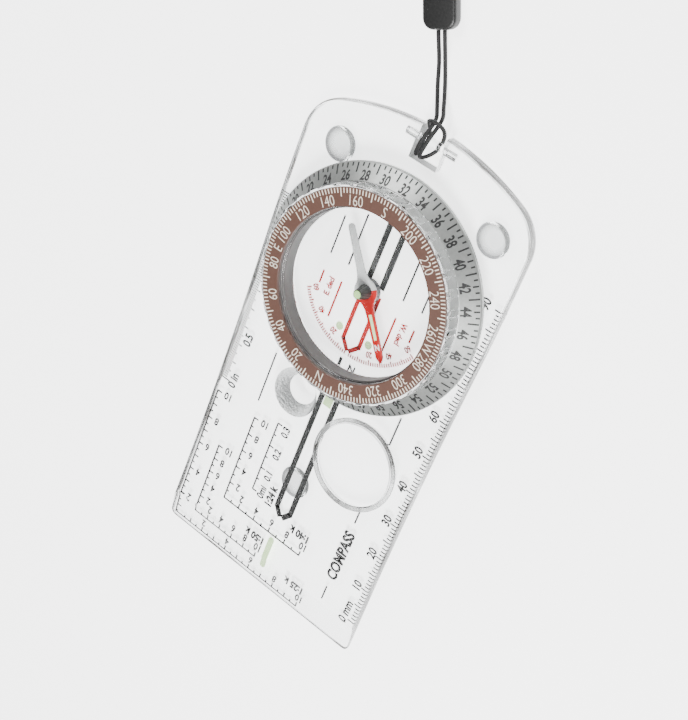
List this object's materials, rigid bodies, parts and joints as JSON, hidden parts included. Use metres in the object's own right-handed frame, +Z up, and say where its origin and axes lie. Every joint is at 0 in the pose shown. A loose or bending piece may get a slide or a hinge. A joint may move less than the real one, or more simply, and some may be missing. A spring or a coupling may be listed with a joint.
{
  "type": "baseplate compass",
  "caption": "Clear baseplate compass with a rotating two-step dial, a free-swinging needle, a magnifier lens, a marking hole and a short hitched cord with a connector.",
  "frame": {"origin": "on the ground, under the middle of the baseplate's width, and of its length to within 0.2 mm", "axes": "+Z up; +Y along the direction of travel, the plate's length; +X to the right of travel"},
  "size_m": [0.0606, 0.1669, 0.0123],
  "materials": {
    "clear_acrylic": "clear, polished",
    "clear_lens": "clear, polished",
    "silicone": "translucent, soft",
    "cord_black": "tightly braided",
    "connector_black": "fine moulded texture",
    "housing_clear": "clear, moulded",
    "mils_grey": "satin grey with black print",
    "degree_brown": "satin brown with pale print",
    "sleeve_grey": "satin dark grey",
    "capsule_clear": "clear, polished",
    "snap_white": "moulded",
    "post_brass": "turned",
    "needle_paint": "gloss red and pale grey",
    "magnet_black": "sintered, black",
    "cap_dark": "moulded, dark",
    "jewel_red": "polished",
    "luminous_green": "luminous paint"
  },
  "bodies": {
    "plate": {"baseplate": "clear_acrylic", "magnifier_lens": "clear_lens", "foot_front": "silicone", "foot_rear_right": "silicone", "foot_rear_left": "silicone", "lanyard_bar": "clear_acrylic", "lanyard_cord": "cord_black", "cord_connector": "connector_black"},
    "dial": {"dial_housing": "housing_clear", "mils_ring": "mils_grey", "degree_ring": "degree_brown", "light_sleeve": "sleeve_grey", "capsule_cover": "capsule_clear", "capsule_base": "capsule_clear", "retaining_ring": "snap_white", "pivot_post": "post_brass"},
    "needle": {"needle_blade": "needle_paint", "needle_magnet": "magnet_black", "hub_cap": "cap_dark", "jewel_bearing": "jewel_red", "luminous_dot": "luminous_green"}
  },
  "joints": [
    {"name": "dial_turn", "type": "hinge", "parent": "plate", "child": "dial", "pos_m": [0, -0.0235, 0.0046], "axis": [0, 0, 1], "continuous": true},
    {"name": "needle_swing", "type": "hinge", "parent": "dial", "child": "needle", "pos_m": [0, -0.0235, 0.0081], "axis": [0, 0, 1], "continuous": true}
  ]
}
